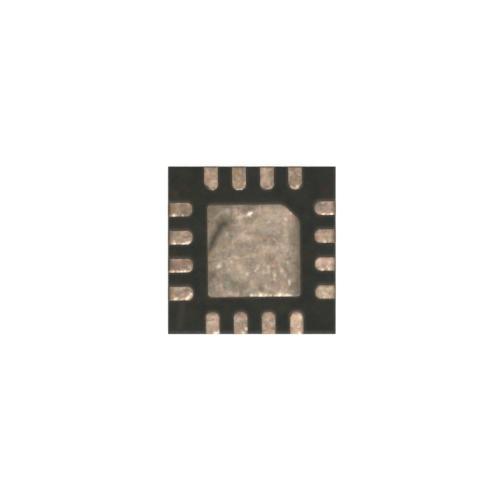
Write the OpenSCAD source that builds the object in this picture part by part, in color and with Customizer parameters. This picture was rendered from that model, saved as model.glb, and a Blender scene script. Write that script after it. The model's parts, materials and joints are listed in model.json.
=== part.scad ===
// Sixteen-terminal quad flat no-lead package: a square moulded body sawn from a strip, with
// four flat terminals on each side and a bare metal pad in the middle of the same face.
// It lies on its marking face, as it does under a microscope: +Z points out of the terminal
// face, and the origin is the middle of the marking face. Millimetres.

/* [Body] */
// Sawn width along X
body_w = 3.00; // [2.90:0.05:3.60]
// Sawn depth along Y
body_d = 3.00; // [2.90:0.05:3.60]
// Height from the marking face to the solder faces
overall_h = 0.75; // [0.70:0.05:1.00]
// How far the terminals and the pad stand proud of the moulded face
standoff = 0.02; // [0.01:0.01:0.05]

/* [Lead frame] */
// Thickness of the copper sheet
frame_t = 0.20; // [0.18:0.01:0.24]
// Depth etched away on the solder side, under lips and tie bars
etch_t = 0.10; // [0.08:0.01:0.12]
// Offset of the lead frame from the middle of the saw cuts, along X
frame_shift_x = 0.035; // [-0.05:0.005:0.05]
// Offset of the lead frame from the middle of the saw cuts, along Y
frame_shift_y = -0.010; // [-0.05:0.005:0.05]
// Turn of the lead frame against the saw cuts, in degrees
frame_skew = 0.65; // [-1.00:0.05:1.00]
// Width of the bars that tie the pad to the corners
tie_bar_w = 0.10; // [0.08:0.01:0.12]

/* [Terminals] */
// Terminals on each side
per_side = 4; // [2:1:4]
// Distance from one terminal to the next
pitch = 0.50; // [0.40:0.01:0.50]
// Width of a solder face
terminal_w = 0.25; // [0.20:0.01:0.28]
// Length of a solder face, in from the side of the body
terminal_l = 0.41; // [0.35:0.01:0.45]
// Corner radius of a terminal's inner end
terminal_r = 0.11; // [0.03:0.01:0.13]
// Shortest straight stretch left between the two corners of an inner end
tip_flat = 0.02; // [0.01:0.01:0.06]
// Buried lip along a terminal's sides, which locks it into the moulding
side_lip = 0.02; // [0.01:0.005:0.03]
// Buried lip at a terminal's inner end
end_lip = 0.06; // [0.04:0.01:0.08]
// Distance from the side of the body to the start of the lips
lip_setback = 0.10; // [0.08:0.01:0.14]

/* [Exposed pad] */
// Width of the bare face along X
pad_w = 1.65; // [1.55:0.01:1.70]
// Depth of the bare face along Y
pad_d = 1.65; // [1.55:0.01:1.70]
// Corner radius of the bare face
pad_r = 0.07; // [0.03:0.01:0.10]
// Leg of the bevel that marks the corner of terminal 1
pad_bevel = 0.29; // [0.20:0.01:0.35]
// Radius of the blends at both ends of the bevel
bevel_r = 0.22; // [0.05:0.01:0.30]
// Buried lip round the pad
pad_lip = 0.08; // [0.05:0.01:0.10]

/* [Chip] */
// Chip width along X
chip_w = 1.20; // [1.00:0.05:1.40]
// Chip depth along Y
chip_d = 1.10; // [1.00:0.05:1.40]
// Chip thickness
chip_t = 0.20; // [0.15:0.01:0.22]
// Thickness of the adhesive between chip and pad
glue_t = 0.025; // [0.015:0.005:0.035]
// How far the adhesive squeezes out past the chip
glue_margin = 0.04; // [0.02:0.01:0.06]

/* [Bond wires] */
// Wire diameter
wire_d = 0.025; // [0.020:0.001:0.030]
// Height of the wire's bend above the chip
loop_h = 0.12; // [0.09:0.01:0.15]
// Radius of the wire's bend
bend_r = 0.03; // [0.025:0.005:0.04]
// Extra diameter in the bend, where the wire was worked
bend_swell = 0.001; // [0.001:0.0005:0.002]
// Diameter of the ball that the wire starts from
ball_d = 0.06; // [0.05:0.005:0.07]
// Height of the pressed ball
ball_h = 0.015; // [0.010:0.001:0.020]
// Diameter of the flattened end on the terminal
stitch_d = 0.05; // [0.045:0.005:0.06]
// Thickness of the flattened end
stitch_t = 0.008; // [0.006:0.001:0.010]
// Distance from the chip's edge to the middle of the balls
ball_inset = 0.07; // [0.05:0.01:0.09]
// Distance from one ball to the next along the chip's edge
ball_pitch = 0.25; // [0.15:0.01:0.28]
// Distance from a terminal's buried end to the flattened wire
stitch_inset = 0.10; // [0.06:0.01:0.14]

/* [Corner mark] */
// Diameter of the shallow dot by terminal 1 on the marking face
mark_d = 0.30; // [0.20:0.05:0.40]
// Depth of the dot
mark_depth = 0.02; // [0.01:0.01:0.03]
// Distance from the sides of the body to the middle of the dot
mark_inset = 0.45; // [0.35:0.05:0.60]

/* [Hidden] */
sides = 4;
terminal_count = sides * per_side;

// Levels, up from the marking face: the moulded face round the terminals, the side of the
// lead frame that the wires land on, and the near sides of the adhesive and the chip
mould_z = overall_h - standoff;
bond_z = overall_h - frame_t;
glue_z = bond_z - glue_t;
chip_z = glue_z - chip_t;

// How far the uncut lead frame runs past the saw cuts, and how far cutters clear a face
overrun = 0.30;
clear = 0.05;

// How far a wire's straight stretches reach into its bend
bend_overlap = wire_d / 10;

$fn = 48;
// A wire is thinner than anything else, and needs fewer facets
wire_fn = 16;

function two_digits(n) = n < 10 ? str("0", n) : str(n);
function terminal_name(i) = str("terminal_", two_digits(i + 1));
function wire_name(i) = str("bond_wire_", two_digits(i + 1));

// Seen from the terminal side the numbers run clockwise from the bevelled corner:
// down the +X side, along -Y, up -X and along +Y.
function side_of(i) = floor(i / per_side);
function turn_of(i) = -90 * side_of(i);
function step_along(i, spacing) = ((per_side - 1) / 2 - i % per_side) * spacing;

// Half of the width that a side's terminals point along
function half_body(i) = (side_of(i) % 2 == 0 ? body_w : body_d) / 2;
function half_chip(i) = (side_of(i) % 2 == 0 ? chip_w : chip_d) / 2;

// Both ends of a wire, out from the middle and along the side
function ball_at(i) = [half_chip(i) - ball_inset, step_along(i, ball_pitch)];
function stitch_at(i) = [
    half_body(i) - terminal_l - end_lip + stitch_inset,
    step_along(i, pitch)
];

// A convex outline with round corners, from the centres and the radii of its corner arcs in
// anticlockwise order. Every side stays a true line and every corner a true arc.
module rounded_outline(centres, radii) {
    polygon(centres);
    for (i = [0 : len(centres) - 1]) {
        next = (i + 1) % len(centres);
        run = centres[next] - centres[i];
        // The side between two arcs turns with the difference of their radii
        lean = asin((radii[i] - radii[next]) / norm(run));
        reach = norm(run) * cos(lean);
        translate(centres[i]) {
            circle(radii[i]);
            rotate(atan2(run.y, run.x) + lean) polygon([
                [0, 0],
                [0, -radii[i]],
                [reach, -radii[i]],
                [reach, -radii[i] + radii[next]]
            ]);
        }
    }
}

// Things that belong to the copper sheet, set and turned as the saw cuts left it
module on_frame() {
    translate([frame_shift_x, frame_shift_y]) rotate(frame_skew) children();
}

// The space between the four saw cuts
module sawn_space() {
    translate([-body_w / 2, -body_d / 2, 0]) cube([body_w, body_d, overall_h]);
}

// Terminals

// A flat bar with a round inner end, from inner to outer along +X
module bar_outline(inner, outer, half_w, r) {
    rounded_outline([
        [inner + r, -half_w + r],
        [outer - r, -half_w + r],
        [outer - r, half_w - r],
        [inner + r, half_w - r]
    ], [r, r, r, r]);
}

// One terminal as it is in the sheet, before sawing: the full thickness under the solder
// face, and half of it for the lips
module uncut_terminal(i) {
    side = half_body(i);
    tip = side - terminal_l;
    half_w = terminal_w / 2;
    tip_r = min(terminal_r, half_w - tip_flat / 2);
    on_frame() rotate(turn_of(i)) translate([0, step_along(i, pitch), bond_z]) {
        linear_extrude(frame_t) bar_outline(tip, side + overrun, half_w, tip_r);
        linear_extrude(frame_t - etch_t)
            bar_outline(tip - end_lip, side - lip_setback, half_w + side_lip, tip_r + side_lip);
    }
}

module terminal(i) {
    color([0.70, 0.61, 0.54]) intersection() {
        uncut_terminal(i);
        sawn_space();
    }
}

// Pad

// The pad's outline, grown outward. Its +X +Y corner is bevelled.
module pad_outline(grow) {
    x = pad_w / 2 - pad_r;
    y = pad_d / 2 - pad_r;
    blend_x = pad_w / 2 - bevel_r;
    blend_y = pad_d / 2 - bevel_r;
    // The blends' centres lie this far apart along each leg of the bevel
    cut = pad_bevel - bevel_r * (2 - sqrt(2));
    rounded_outline(
        [[-x, -y], [x, -y], [blend_x, blend_y - cut], [blend_x - cut, blend_y], [-x, y]],
        [for (r = [pad_r, pad_r, bevel_r, bevel_r, pad_r]) r + grow]
    );
}

// A bar from the pad to each corner, in the half thickness
module tie_bars() {
    for (corner_x = [-1, 1], corner_y = [-1, 1])
        rotate(atan2(corner_y * body_d, corner_x * body_w)) translate([0, -tie_bar_w / 2])
            square([norm([body_w, body_d]) / 2 + overrun, tie_bar_w]);
}

module uncut_die_pad() {
    on_frame() translate([0, 0, bond_z]) {
        linear_extrude(frame_t) pad_outline(0);
        linear_extrude(frame_t - etch_t) {
            pad_outline(pad_lip);
            tie_bars();
        }
    }
}

module die_pad() {
    color([0.70, 0.61, 0.54]) intersection() {
        uncut_die_pad();
        sawn_space();
    }
}

// Chip and its adhesive

module slab(w, d, t) {
    translate([-w / 2, -d / 2, 0]) cube([w, d, t]);
}

module die_attach() {
    color([0.78, 0.78, 0.74]) on_frame() translate([0, 0, glue_z])
        slab(chip_w + 2 * glue_margin, chip_d + 2 * glue_margin, glue_t);
}

module silicon_die() {
    color([0.33, 0.35, 0.42]) on_frame() translate([0, 0, chip_z]) slab(chip_w, chip_d, chip_t);
}

// Bond wires

// One wire in its own upright plane: the ball stands at the origin, the wire rises along +Z,
// bends over and runs straight down to its flattened end, span along +X and drop below the ball
module wire_shape(span, drop, $fn = wire_fn) {
    rise = loop_h - bend_r;
    // The straight run leaves the bend as a tangent to the landing point
    across = span - bend_r;
    down = rise + drop;
    run = sqrt(across * across + down * down - bend_r * bend_r);
    slope = atan2(down, across) + atan(bend_r / run);
    cylinder(h = ball_h, d = ball_d);
    cylinder(h = rise + bend_overlap, d = wire_d);
    intersection() {
        translate([bend_r, 0, rise]) rotate([90, 0, 0]) rotate(90 - slope) {
            rotate_extrude(angle = 90 + slope) translate([bend_r, 0]) circle(d = wire_d + bend_swell);
            translate([bend_r, bend_overlap, 0]) rotate([90, 0, 0])
                cylinder(h = bend_overlap + run + wire_d, d = wire_d);
        }
        translate([-wire_d, -wire_d, -drop]) cube([span + 3 * wire_d, 2 * wire_d, drop + 2 * loop_h]);
    }
    translate([span, 0, -drop]) cylinder(h = stitch_t, d = stitch_d);
}

// The wires hang below the chip here, because the package lies on its marking face
module wire_form(i) {
    ball = ball_at(i);
    run = stitch_at(i) - ball;
    on_frame() rotate(turn_of(i)) translate([ball.x, ball.y, chip_z]) rotate(atan2(run.y, run.x))
        rotate([180, 0, 0]) wire_shape(norm(run), chip_t + glue_t);
}

module bond_wire(i) {
    color([0.86, 0.66, 0.32]) wire_form(i);
}

// Moulding

module corner_mark() {
    translate([body_w / 2 - mark_inset, body_d / 2 - mark_inset, -clear])
        cylinder(h = mark_depth + clear, d = mark_d);
}

// The moulding fills everything between the saw cuts that metal, chip and wires leave
module mould_body() {
    color([0.15, 0.15, 0.14]) difference() {
        translate([-body_w / 2, -body_d / 2, 0]) cube([body_w, body_d, mould_z]);
        uncut_die_pad();
        die_attach();
        silicon_die();
        for (i = [0 : terminal_count - 1]) {
            uncut_terminal(i);
            wire_form(i);
        }
        corner_mark();
    }
}

mould_body();
die_pad();
die_attach();
silicon_die();
for (i = [0 : terminal_count - 1]) {
    terminal(i);
    bond_wire(i);
}
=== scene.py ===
"""Looks of a sixteen-terminal quad flat no-lead package that lies on its marking face.

Every visible piece starts from its own solid, so it keeps that solid's form. Its outer faces
are cut into a fine grid, and the grid's points then take the relief of the real surface. The
work is done in millimetres, and each mesh is scaled to metres at the end.
"""

import json
import math
from functools import cached_property

import bmesh
import bpy
import numpy as np
from mathutils import Matrix, Vector, noise


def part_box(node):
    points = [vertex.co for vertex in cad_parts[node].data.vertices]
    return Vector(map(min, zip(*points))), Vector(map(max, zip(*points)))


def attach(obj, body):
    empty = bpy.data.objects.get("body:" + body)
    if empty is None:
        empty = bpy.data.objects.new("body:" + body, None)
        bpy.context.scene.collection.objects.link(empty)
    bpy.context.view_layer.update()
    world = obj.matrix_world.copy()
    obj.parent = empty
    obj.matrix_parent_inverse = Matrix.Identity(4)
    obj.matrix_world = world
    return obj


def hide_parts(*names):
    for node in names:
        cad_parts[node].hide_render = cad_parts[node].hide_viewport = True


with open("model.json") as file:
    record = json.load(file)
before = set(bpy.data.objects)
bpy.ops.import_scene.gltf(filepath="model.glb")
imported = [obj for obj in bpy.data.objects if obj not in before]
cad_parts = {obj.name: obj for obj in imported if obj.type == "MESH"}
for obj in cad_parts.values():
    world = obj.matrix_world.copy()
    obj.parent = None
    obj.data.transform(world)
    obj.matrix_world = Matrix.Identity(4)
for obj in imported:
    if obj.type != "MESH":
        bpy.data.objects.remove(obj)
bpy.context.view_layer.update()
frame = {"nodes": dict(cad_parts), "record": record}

MM = 0.001
SAME_LEVEL = 1e-4
WELD_DISTANCE = 1e-5
SHARP_ANGLE = 40

# Levels and sizes of the package, read from the frame, in millimetres
BODY_LOW, BODY_HIGH = (np.array(corner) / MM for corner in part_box("mould_body"))
MOULD_Z = BODY_HIGH[2]
SOLDER_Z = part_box("die_pad")[1].z / MM
STANDOFF = SOLDER_Z - MOULD_Z
TERMINALS = sorted(n for n in frame["nodes"] if n.startswith("terminal_"))
WIRES = sorted(n for n in frame["nodes"] if n.startswith("bond_wire_"))
MOUNTS = {m["name"]: np.array(m["pos_m"]) / MM for m in frame["record"]["mounts"]}

# The lead frame's own axes, which the saw cuts don't quite follow
FRAME_Y = Vector(MOUNTS["terminal_02_face"] - MOUNTS["terminal_03_face"]).normalized()
FRAME_X = Vector((FRAME_Y.y, -FRAME_Y.x, 0))

# The photograph's frame, counted from the middle of its first pixel, and where the package's
# middle lies in it
PHOTO_SIZE = 500
PHOTO_MIDDLE = (PHOTO_SIZE - 1) / 2
PACKAGE_MIDDLE = (251.37, 249.79)
PIXELS_PER_MM = 56.0

# The way, seen from above, from the package to the lamp that lights its rims
TO_LAMP = np.array([0.34, -0.94])


def from_photo(x, y):
    """The place on the solder face, in millimetres, that a pixel of the photograph shows."""
    return np.array([x - PACKAGE_MIDDLE[0], PACKAGE_MIDDLE[1] - y]) / PIXELS_PER_MM


# Fields: one value for each row of an array of points. A seed only sets one noise apart from
# the others.

SEED_SHIFT = np.array([17.31, 5.17, 9.73])
SPOT_FALL = 1.5
SPOT_UNEVENNESS = 0.6
SPOT_WAVES = 26
STROKE_END = 0.4
STROKE_WAVER = 0.022
STROKE_WAVES = 5


def between(start, end, share):
    """start where the share is 0, end where it is 1."""
    return start + (end - start) * share


def smooth_step(value, low, high):
    """0 up to low, 1 from high, and a smooth rise between them."""
    t = np.clip((value - low) / (high - low), 0, 1)
    return t * t * (3 - 2 * t)


def grain(points, per_mm, seed):
    """Smooth noise from about -1 to 1, with per_mm waves in a millimetre, or one number an axis."""
    scaled = points * per_mm + seed * SEED_SHIFT
    return np.array([noise.noise(p) for p in scaled])


def layered(points, layers, seed):
    """A sum of noises, each given as its waves in a millimetre and its share."""
    return sum(share * grain(points, per_mm, seed + i) for i, (per_mm, share) in enumerate(layers))


def spot(points, place, radius, ragged=1.0):
    """1 at a place on the solder face, fading to nothing about radius away."""
    away = np.linalg.norm(points[:, :2] - place, axis=1) * ragged
    return np.exp(-(away / radius * SPOT_FALL) ** 2)


def spots(points, places, seed):
    """Uneven spots, each given as its pixel in the photograph, its radius and its strength."""
    ragged = 1 + SPOT_UNEVENNESS * grain(points, SPOT_WAVES, seed)
    marked = sum(share * spot(points, from_photo(x, y), radius, ragged)
                 for x, y, radius, share in places)
    return np.clip(marked, 0, 1)


def strokes(points, places, seed):
    """Wavering strokes between two pixels of the photograph, each with a width and a strength."""
    waver = np.column_stack([grain(points, STROKE_WAVES, seed), grain(points, STROKE_WAVES, seed + 1)])
    flat = points[:, :2] + STROKE_WAVER * waver
    marked = np.zeros(len(points))
    for x1, y1, x2, y2, width, share in places:
        start, run = from_photo(x1, y1), from_photo(x2, y2) - from_photo(x1, y1)
        t = np.clip((flat - start) @ run / (run @ run), 0, 1)
        away = np.linalg.norm(flat - start - t[:, None] * run, axis=1)
        taper = between(STROKE_END, 1, np.sin(math.pi * t))
        marked = np.maximum(marked, share * taper * np.exp(-(away / width) ** 2))
    return marked


# Mesh tools

def cad_mesh(node):
    """The node's solid as one closed mesh, in millimetres."""
    bm = bmesh.new()
    bm.from_mesh(frame["nodes"][node].data)
    bm.transform(Matrix.Scale(1 / MM, 4))
    bmesh.ops.remove_doubles(bm, verts=bm.verts, dist=WELD_DISTANCE)
    return bm


def lies_on(face, axis, level):
    """Whether a face lies in the plane across an axis at that level."""
    return all(abs(v.co[axis] - level) < SAME_LEVEL for v in face.verts)


def tag_skin(bm, planes):
    """Marks the faces that lie in one of the planes, each an axis and a level, for slicing."""
    skin = bm.faces.layers.int.new("skin")
    for face in bm.faces:
        face[skin] = any(lies_on(face, axis, level) for axis, level in planes)
    return skin


def cut_faces(bm, faces, direction, offset):
    """Cuts the faces with one plane across direction, and returns those below and above it."""
    low, high, cut = [], [], []
    for face in faces:
        along = [v.co.dot(direction) - offset for v in face.verts]
        if max(along) < SAME_LEVEL:
            low.append(face)
        elif min(along) > -SAME_LEVEL:
            high.append(face)
        else:
            cut.append(face)
    edges = {e for f in cut for e in f.edges}
    verts = {v for e in edges for v in e.verts}
    parts = bmesh.ops.bisect_plane(
        bm, geom=[*verts, *edges, *cut], dist=SAME_LEVEL,
        plane_co=direction * offset, plane_no=direction)["geom"]
    for part in parts:
        if isinstance(part, bmesh.types.BMFace):
            above = part.calc_center_median().dot(direction) > offset
            (high if above else low).append(part)
    return low, high


def slice_faces(bm, faces, direction, offsets):
    """Cuts the faces with planes across direction, at rising offsets, the middle one first."""
    if faces and offsets:
        middle = len(offsets) // 2
        low, high = cut_faces(bm, faces, direction, offsets[middle])
        slice_faces(bm, low, direction, offsets[:middle])
        slice_faces(bm, high, direction, offsets[middle + 1:])


def slice_skin(bm, skin, direction, offsets):
    """Cuts the marked faces with planes across direction, at each offset along it."""
    slice_faces(bm, [f for f in bm.faces if f[skin]], direction, sorted(offsets))


def spread(low, high, step):
    """Evenly spaced values strictly between low and high, about step apart."""
    count = max(1, round((high - low) / step))
    return [low + (high - low) * i / count for i in range(1, count)]


def points_of(bm):
    """All points of a mesh as an array, one row each."""
    return np.array([v.co for v in bm.verts], float).reshape(-1, 3)


def put_points(bm, points):
    for vert, point in zip(bm.verts, points):
        vert.co = point


def make_piece(bm, name, node, material, marks):
    """Turns the mesh into a piece that stands for a node. marks are values for each point,
    which the material reads by name."""
    bmesh.ops.triangulate(bm, faces=[f for f in bm.faces if len(f.verts) > 4])
    mesh = bpy.data.meshes.new(name)
    bm.to_mesh(mesh)
    bm.free()
    mesh.transform(Matrix.Scale(MM, 4))
    for mark, values in marks.items():
        attribute = mesh.attributes.new(mark, "FLOAT", "POINT")
        attribute.data.foreach_set("value", np.asarray(values, np.float32))
    mesh.shade_smooth()
    mesh.set_sharp_from_angle(angle=math.radians(SHARP_ANGLE))
    piece = bpy.data.objects.new(name, mesh)
    bpy.context.scene.collection.objects.link(piece)
    mesh.materials.append(material)
    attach(piece, "root")
    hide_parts(node)
    return piece


# Moulding: round and chipped arrises, saw lines on the sides, a slightly wavy moulded face

ARRIS_RADIUS = 0.010
ARRIS_CUTS = (0.003, 0.006, 0.010, 0.018, 0.030)
MOULD_STEP = 0.024
SIDE_SPAN = (0.7, 0.9)
BLADE_RADIUS = 28
SAW_LINE_DEPTH = 0.0018
SAW_LINE_WAVES = (1.2, 1.2, 14)

# Chips along the arrises and waves on the moulded face, each with its layers of noise
CHIP_REACH = 0.030
CHIP_DEPTH = 0.007
CHIP_NOISE = ((9, 1.0), (24, 0.6))
CHIP_SPAN = (0.18, 0.55)
MOULD_WAVE = 0.0016
MOULD_NOISE = ((2.5, 0.7), (9, 0.3))

# How far a painted glow reaches from the metal over the moulding, softening the metal's edges and
# lightening the shadow of its step, and how strong it is: beside the metal, and on its side that
# faces away from the lamp
HALO_REACH = 0.024
HALO_STRENGTH = 0.22
SHY_REACH = 0.021
SHY_STRENGTH = 0.60

# The place where the moulding bites off part of one terminal's tip
BITE_PLACE = from_photo(202.5, 190.5)
BITE_RADIUS = 0.176
BITE_FADE = (0.16, 0.54)
BITE_SURROUNDS = 1.25


def saw_lines(points, waves, seed):
    """Noise from about 0 to 1, in long level arcs of the saw blade's radius."""
    rise = (points[:, 0] ** 2 + points[:, 1] ** 2) / (2 * BLADE_RADIUS)
    arcs = np.column_stack([points[:, 0], points[:, 1], points[:, 2] + rise])
    return (1 + grain(arcs, waves, seed)) / 2


def arris_distance(points):
    """Distance of each point of the box's surface from the nearest arris."""
    from_sides = np.minimum(points - BODY_LOW, BODY_HIGH - points)
    return np.sort(from_sides, axis=1)[:, 1]


def mould_relief(points, out, arris):
    """How far the real surface lies below the plain box, as a negative number."""
    chipped = smooth_step(layered(points, CHIP_NOISE, 2), *CHIP_SPAN)
    chips = chipped * np.clip(1 - arris / CHIP_REACH, 0, 1) * CHIP_DEPTH
    side = smooth_step(np.linalg.norm(out[:, :2], axis=1), *SIDE_SPAN)
    sawn = SAW_LINE_DEPTH * saw_lines(points, SAW_LINE_WAVES, 4)
    moulded = MOULD_WAVE * (1 + layered(points, MOULD_NOISE, 5)) / 2
    return -(chips + between(moulded, sawn, side))


def bite(points, growth=1.0):
    """1 where the moulding bites off part of one terminal's tip, fading softly round it."""
    return smooth_step(spot(points, BITE_PLACE, BITE_RADIUS * growth), *BITE_FADE)


def painted_glow_near_metal(points):
    """Painted glow on the moulded face, from 0 to 1, by how near its points lie to the metal."""
    painted_glow = np.zeros(len(points))
    on_top = points[:, 2] > MOULD_Z - SAME_LEVEL
    for node in [*TERMINALS, "die_pad"]:
        bm = cad_mesh(node)
        rim = solder_outline(bm, False)
        bm.free()
        away, out = rim_distance(points[on_top], rim)
        shy = np.clip(out[:, 1], 0, 1)
        level = between(HALO_STRENGTH, SHY_STRENGTH, shy)
        reach = between(HALO_REACH, SHY_REACH, shy)
        painted_glow[on_top] = np.maximum(painted_glow[on_top], level * np.exp(-(away / reach) ** (2 - shy)))
    return painted_glow * (1 - bite(points, BITE_SURROUNDS))


def make_moulding(material):
    bm = cad_mesh("mould_body")
    planes = [(axis, side[axis]) for axis in range(3) for side in (BODY_LOW, BODY_HIGH)]
    skin = tag_skin(bm, planes)
    for axis in (2, 0, 1):
        low, high = BODY_LOW[axis], BODY_HIGH[axis]
        cuts = [low + d for d in ARRIS_CUTS] + [high - d for d in ARRIS_CUTS]
        cuts += spread(low + ARRIS_CUTS[-1], high - ARRIS_CUTS[-1], MOULD_STEP)
        slice_skin(bm, skin, Vector([axis == i for i in range(3)]), cuts)
    points = points_of(bm)
    outer = np.array([any(f[skin] for f in v.link_faces) for v in bm.verts])
    shell = points[outer]
    arris = arris_distance(shell)
    inner = np.clip(shell, BODY_LOW + ARRIS_RADIUS, BODY_HIGH - ARRIS_RADIUS)
    out = (shell - inner) / np.linalg.norm(shell - inner, axis=1, keepdims=True)
    height = ARRIS_RADIUS + mould_relief(shell, out, arris)
    points[outer] = inner + out * height[:, None]
    put_points(bm, points)
    marks = {name: np.zeros(len(points)) for name in ("arris", "side", "painted_glow")}
    marks["arris"][outer] = arris
    marks["side"][outer] = np.linalg.norm(out[:, :2], axis=1)
    # painted glow of the metal over the moulding
    marks["painted_glow"][outer] = painted_glow_near_metal(shell)
    return make_piece(bm, "moulding", "mould_body", material, marks)


# Metal: plated faces with rims that lean over, bare ends where the saw went through

TERMINAL_STEP = 0.008
PAD_STEP = 0.012
SAWN_GRAIN = 0.0012
SAWN_WAVES = (4, 4, 42)

# How rims lean over: width and depth where they face the lamp, along all edges and at the saw
# cuts, and what share of the lean is left on the sides away from the lamp
RIM_ROLL = (0.052, STANDOFF * 0.70)
CROWN = (0.115, STANDOFF * 0.20)
SAWN_ROLL = (0.040, STANDOFF * 0.45)
ROLL_CURVE = 1.6
SHY_LEAN = 0.22
LIT_SPAN = (-0.2, 0.8)

# How uneven rims are: where they begin, how wide they lean and the bumps on them
RIM_WANDER = 0.007
RIM_WAVES = 26
LEAN_UNEVENNESS = 0.4
LEAN_WAVES = 14
RIM_BUMPS = 0.0030
BUMP_WAVES = 19

# Relief of matt tin: its depth, the mean below the highest hills as a share of it, its noise
PLATING_GRAIN = 0.0015
PAD_GRAIN = 0.0018
PLATING_MEAN = 0.8
PLATING_NOISE = ((6, 0.275), (13, 0.20), (36, 0.12))


def on_side(co):
    """Whether a place lies in one of the package's four sawn sides."""
    return any(abs(co[axis] - side[axis]) < SAME_LEVEL
               for axis in (0, 1) for side in (BODY_LOW, BODY_HIGH))


def solder_outline(bm, sawn):
    """The edges round the solder face that the saw cut, or the others, each as two corners."""
    rim = []
    for edge in bm.edges:
        level = [lies_on(f, 2, SOLDER_Z) for f in edge.link_faces]
        if any(level) and not all(level) and sawn == all(on_side(v.co) for v in edge.verts):
            rim.append([v.co[:2] for v in edge.verts])
    return np.array(rim).reshape(-1, 2, 2)


def rim_distance(points, rim):
    """Distance of each point, seen from above, from the outline, and the way out across it."""
    best = np.full(len(points), np.inf)
    out = np.zeros((len(points), 2))
    middle = rim.reshape(-1, 2).mean(axis=0)
    for start, end in rim:
        run = end - start
        across = np.array([run[1], -run[0]]) / np.linalg.norm(run)
        across *= np.sign(across @ (start - middle))
        t = np.clip((points[:, :2] - start) @ run / (run @ run), 0, 1)
        away = np.linalg.norm(points[:, :2] - start - t[:, None] * run, axis=1)
        nearer = away < best
        best[nearer] = away[nearer]
        out[nearer] = across
    return best, out


def rolled(inset, roll):
    """Drop of a rim that leans over more and more towards its edge. roll is its width and depth."""
    width, depth = roll
    return depth * np.clip(1 - inset / width, 0, 1) ** ROLL_CURVE


def metal_mesh(node, step):
    """The node's mesh with a grid on its solder face and its sawn ends, and both outlines."""
    bm = cad_mesh(node)
    rims = solder_outline(bm, False), solder_outline(bm, True)
    planes = [(2, SOLDER_Z)]
    planes += [(axis, side[axis]) for axis in (0, 1) for side in (BODY_LOW, BODY_HIGH)]
    skin = tag_skin(bm, planes)
    for direction in (FRAME_X, FRAME_Y, Vector((0, 0, 1))):
        along = [v.co.dot(direction) for f in bm.faces if f[skin] for v in f.verts]
        slice_skin(bm, skin, direction, spread(min(along), max(along), step))
    return bm, rims


# Painted shade on the plating towards a side, weakest on the side towards the lamp: the side's way out,
# the reach and the strength
END_FADES = (
    ((-1, 0), 0.120, 0.88), ((0, 1), 0.050, 0.80), ((1, 0), 0.110, 0.76), ((0, -1), 0.030, 0.40))
PAD_FADES = (((-1, 0), 0.420, 0.35), ((0, 1), 0.120, 0.26), ((1, 0), 0.250, 0.70))

# How much painted shade darkens the edge of a rim and a band inside it: the width, and the strength
# on the sides away from the lamp and towards it
RIM_LINE = 0.023
LINE_PAINTED_SHADE = (0.52, 0.36)
RIM_BAND = 0.040
BAND_PAINTED_SHADE = (0.24, 0)
LIT_LINE = 0.026


def side_fade(points, low, high, fades):
    """How much painted shade darkens the plating towards the sides of a rectangle, given by two
    corners.
    """
    fade = np.zeros(len(points))
    for way, reach, strength in fades:
        corner = high if sum(way) > 0 else low
        away = np.abs((points[:, :2] - corner[:2]) @ np.abs(way))
        fade = np.maximum(fade, strength * (1 - smooth_step(away, 0, reach)))
    return fade


def metal_marks(points, rims, seed):
    """What each point of a plated piece is: plated or sawn, how far inside its rim, how much
    painted shade it has and how much its rim faces the lamp."""
    top = points[:, 2] > SOLDER_Z - SAME_LEVEL
    free, out = rim_distance(points, rims[0])
    cut = rim_distance(points, rims[1])[0] if len(rims[1]) else np.ones(len(points))
    free, cut = free * top, cut * top
    wander = RIM_WANDER * grain(points, RIM_WAVES, seed) * (free > SAME_LEVEL)
    rim = np.maximum(free + wander, 0)
    lit = smooth_step(out @ TO_LAMP, *LIT_SPAN)
    # Painted shade: a line along the rim's edge, a band inside it on the sides away from the lamp, and
    # fades towards the package's sides
    line = (1 - smooth_step(rim, 0, RIM_LINE)) * between(*LINE_PAINTED_SHADE, lit)
    band = (1 - smooth_step(rim, 0, RIM_BAND)) * between(*BAND_PAINTED_SHADE, lit)
    fade = np.maximum(side_fade(points, BODY_LOW, BODY_HIGH, END_FADES), np.maximum(line, band))
    return {
        "top": top.astype(float),
        "sawn": np.array([on_side(p) for p in points]).astype(float),
        "rim": rim,
        "cut": cut,
        "painted_shade": fade * top,
        "lit": lit,
    }


def painted_lit_edge_shade(marks, strength):
    """A thin line of painted shade along the very edge of the rims that face the lamp."""
    return strength * marks["lit"] * marks["top"] * (1 - smooth_step(marks["rim"], 0, LIT_LINE))


def roll_rims(points, marks, relief, seed, lean):
    """Lowers the solder face by its leaning rims and by the relief of its plating."""
    inset = marks["rim"] * (1 + LEAN_UNEVENNESS * grain(points, LEAN_WAVES, seed + 40))
    lean = lean * between(SHY_LEAN, 1, marks["lit"])
    drop = np.maximum(rolled(inset, RIM_ROLL) * lean, rolled(marks["cut"], SAWN_ROLL))
    drop += rolled(marks["rim"], CROWN)
    share = np.clip(drop / STANDOFF, 0, 1)
    bumps = RIM_BUMPS * grain(points, BUMP_WAVES, seed + 41) * share * (1 - share) * 4
    points[:, 2] -= marks["top"] * np.clip(drop + bumps + relief * (1 - share), 0, STANDOFF)


def roughen_ends(points, marks):
    """Draws the saw's lines across the bare ends."""
    depth = SAWN_GRAIN * saw_lines(points, SAWN_WAVES, 8) * marks["sawn"] * (1 - marks["top"])
    for axis in (0, 1):
        for side, inward in ((BODY_LOW, 1), (BODY_HIGH, -1)):
            flush = np.abs(points[:, axis] - side[axis]) < SAME_LEVEL
            points[:, axis] += inward * depth * flush


def plating(points, seed, depth):
    """How far matt tin lies below its highest hills: soft hills with a finer grain on them."""
    return depth * (PLATING_MEAN - layered(points, PLATING_NOISE, seed))


# Terminals, with a film of resin over some of their tips

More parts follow.
